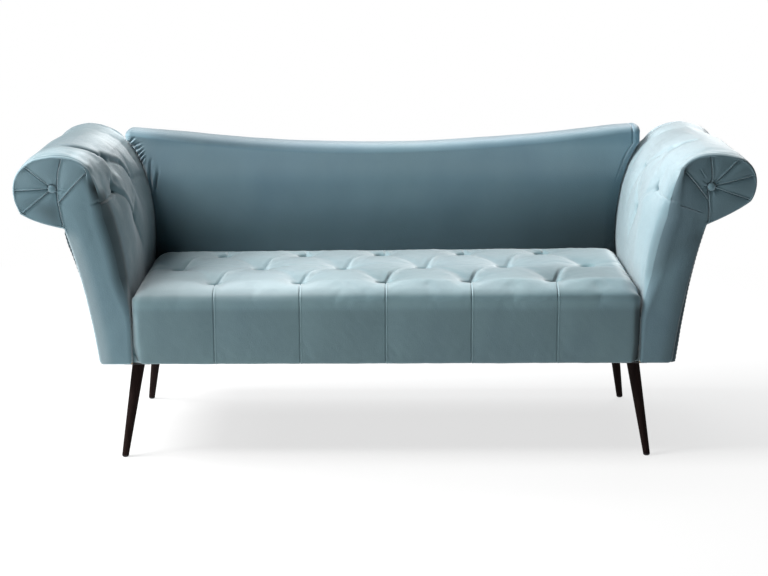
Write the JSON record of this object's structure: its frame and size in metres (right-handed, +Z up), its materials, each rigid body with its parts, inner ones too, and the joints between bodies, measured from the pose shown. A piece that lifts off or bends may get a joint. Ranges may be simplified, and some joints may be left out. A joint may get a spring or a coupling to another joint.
{
  "type": "fainting couch",
  "caption": "Double-ended couch with a deep-tufted seat, rolled and tufted arms with fan-pleated scroll ends, a low dished back and splayed tapered legs.",
  "frame": {"origin": "on the floor under the middle of the couch's bounding box", "axes": "+X across the couch to the right seen from the front, +Y to the back, +Z up"},
  "size_m": [1.8216, 0.6076, 0.7744],
  "materials": {
    "seat_velvet": "deep-tufted velvet",
    "arm_velvet": "tufted velvet",
    "facing_velvet": "pleated velvet",
    "back_velvet": "plain velvet",
    "outside_velvet": "plain velvet on board",
    "leg_wood": "dark stained, satin",
    "frame_timber": "planed softwood",
    "plywood": "sawn plywood",
    "fibreboard": "hard board",
    "webbing": "elastic webbing",
    "dust_cloth": "non-woven cloth",
    "zinc_steel": "zinc plated",
    "plate_steel": "black painted",
    "glide_plastic": "moulded plastic"
  },
  "bodies": {
    "root": {"seat_front_rail": "frame_timber", "seat_rear_rail": "frame_timber", "seat_side_rail_left": "frame_timber", "seat_side_rail_right": "frame_timber", "seat_cross_rails": "frame_timber", "corner_blocks": "frame_timber", "seat_webbing_long": "webbing", "seat_webbing_cross": "webbing", "seat_cushion": "seat_velvet", "dust_cover": "dust_cloth", "leg_plates": "plate_steel", "leg_plate_screws": "zinc_steel", "leg_hanger_bolts": "zinc_steel", "leg_front_left": "leg_wood", "leg_front_right": "leg_wood", "leg_rear_left": "leg_wood", "leg_rear_right": "leg_wood", "foot_glides": "glide_plastic", "arm_front_board_left": "plywood", "arm_front_board_right": "plywood", "arm_rear_board_left": "plywood", "arm_rear_board_right": "plywood", "arm_bottom_rail_left": "frame_timber", "arm_bottom_rail_right": "frame_timber", "arm_battens_left": "frame_timber", "arm_battens_right": "frame_timber", "arm_liner_left": "fibreboard", "arm_liner_right": "fibreboard", "arm_outer_panel_left": "outside_velvet", "arm_outer_panel_right": "outside_velvet", "arm_pad_left": "arm_velvet", "arm_pad_right": "arm_velvet", "arm_front_facing_left": "facing_velvet", "arm_front_facing_right": "facing_velvet", "arm_rear_facing_left": "outside_velvet", "arm_rear_facing_right": "outside_velvet", "scroll_button_left": "facing_velvet", "scroll_button_right": "facing_velvet", "arm_bolts": "zinc_steel", "back_post_left": "frame_timber", "back_post_right": "frame_timber", "back_top_rail": "frame_timber", "back_bottom_rail": "frame_timber", "back_stiles": "frame_timber", "back_webbing": "webbing", "back_pad": "back_velvet", "back_outer_panel": "outside_velvet", "back_bolts": "zinc_steel"}
  },
  "joints": []
}
